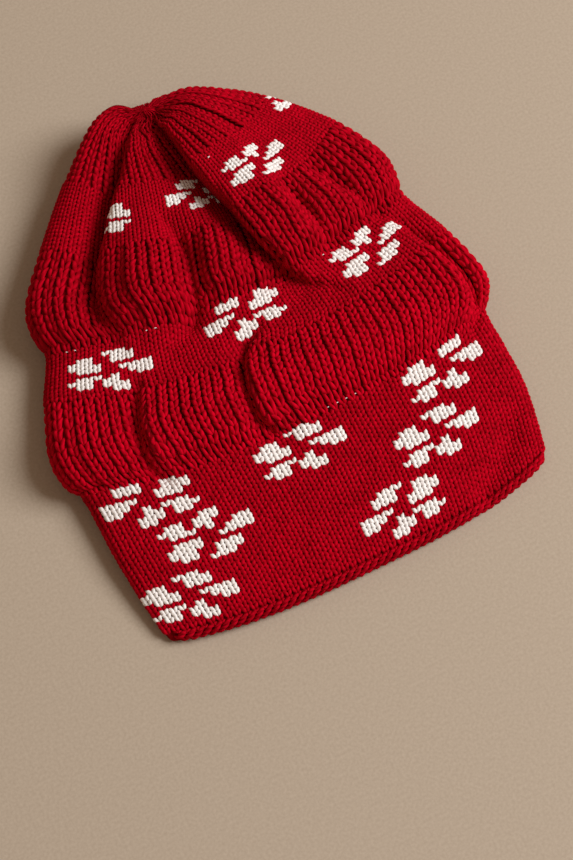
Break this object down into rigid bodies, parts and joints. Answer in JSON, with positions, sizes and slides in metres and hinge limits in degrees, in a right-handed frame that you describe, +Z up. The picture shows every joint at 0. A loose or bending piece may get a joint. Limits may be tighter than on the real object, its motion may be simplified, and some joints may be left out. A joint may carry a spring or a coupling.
{
  "type": "knit beanie",
  "caption": "Slouchy knitted hat lying flat, with plain and ribbed bands, knitted-in flowers, a turned hem and a gathered crown.",
  "frame": {"origin": "middle of the footprint, on the surface that the beanie lies on", "axes": "+Y from the brim to the gathered crown, +X across the brim, +Z up off the surface"},
  "size_m": [0.2604, 0.292, 0.0488],
  "materials": {
    "red_yarn": "soft wool-blend knit, matt with a faint halo of fibres",
    "white_yarn": "off-white wool-blend knit, matt"
  },
  "bodies": {
    "root": {"turned_hem": "red_yarn", "brim_jersey_band": "red_yarn", "lower_rib_band": "red_yarn", "middle_jersey_band": "red_yarn", "upper_rib_band": "red_yarn", "crown_jersey_band": "red_yarn", "crown_rib_cap": "red_yarn", "flower_01": "white_yarn", "flower_02": "white_yarn", "flower_03": "white_yarn", "flower_04": "white_yarn", "flower_05": "white_yarn", "flower_06": "white_yarn", "flower_07": "white_yarn", "flower_08": "white_yarn", "flower_09": "white_yarn", "flower_10": "white_yarn", "flower_11": "white_yarn", "flower_12": "white_yarn", "flower_13": "white_yarn", "gather_yarn": "red_yarn"}
  },
  "joints": []
}
